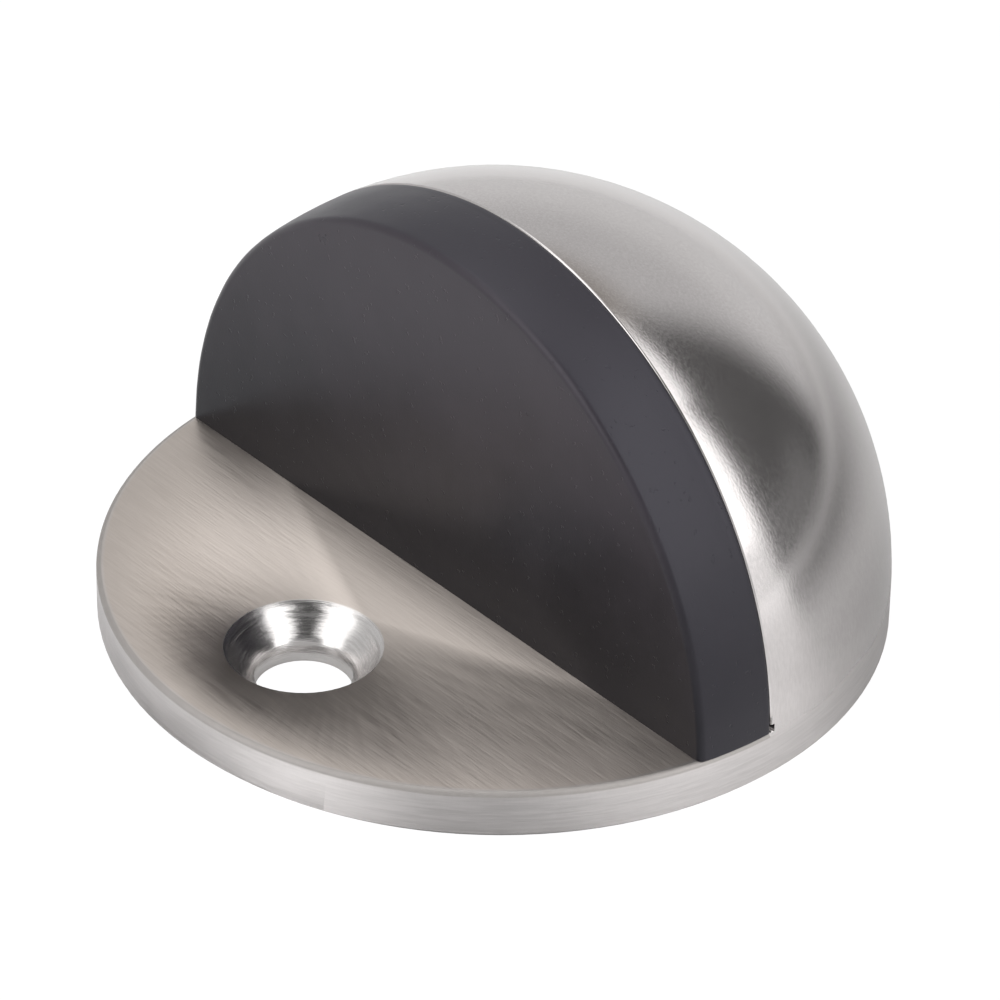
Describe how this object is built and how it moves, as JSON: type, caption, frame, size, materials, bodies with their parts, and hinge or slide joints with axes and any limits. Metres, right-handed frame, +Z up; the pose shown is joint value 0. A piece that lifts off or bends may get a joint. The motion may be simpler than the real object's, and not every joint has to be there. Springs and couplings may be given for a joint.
{
  "type": "floor door holder",
  "caption": "Half-moon floor door holder: a cast metal dome on a round base with a flat rubber buffer and a countersunk screw hole.",
  "frame": {"origin": "centre of the round underside, on the floor", "axes": "+Z up from the floor; the door meets the rubber from -Y; +X along the rubber's flat face"},
  "size_m": [0.045, 0.045, 0.025],
  "materials": {
    "satin_metal": "satin, brushed straight across the plate and round the rim",
    "buffer_rubber": "matt moulded charcoal rubber",
    "plain_steel": "drawn bar, plain",
    "screw_steel": "bright, rolled thread"
  },
  "bodies": {
    "root": {"dome_body": "satin_metal", "rubber_buffer": "buffer_rubber", "buffer_insert": "plain_steel", "buffer_screw_left": "screw_steel", "buffer_screw_right": "screw_steel"}
  },
  "joints": []
}
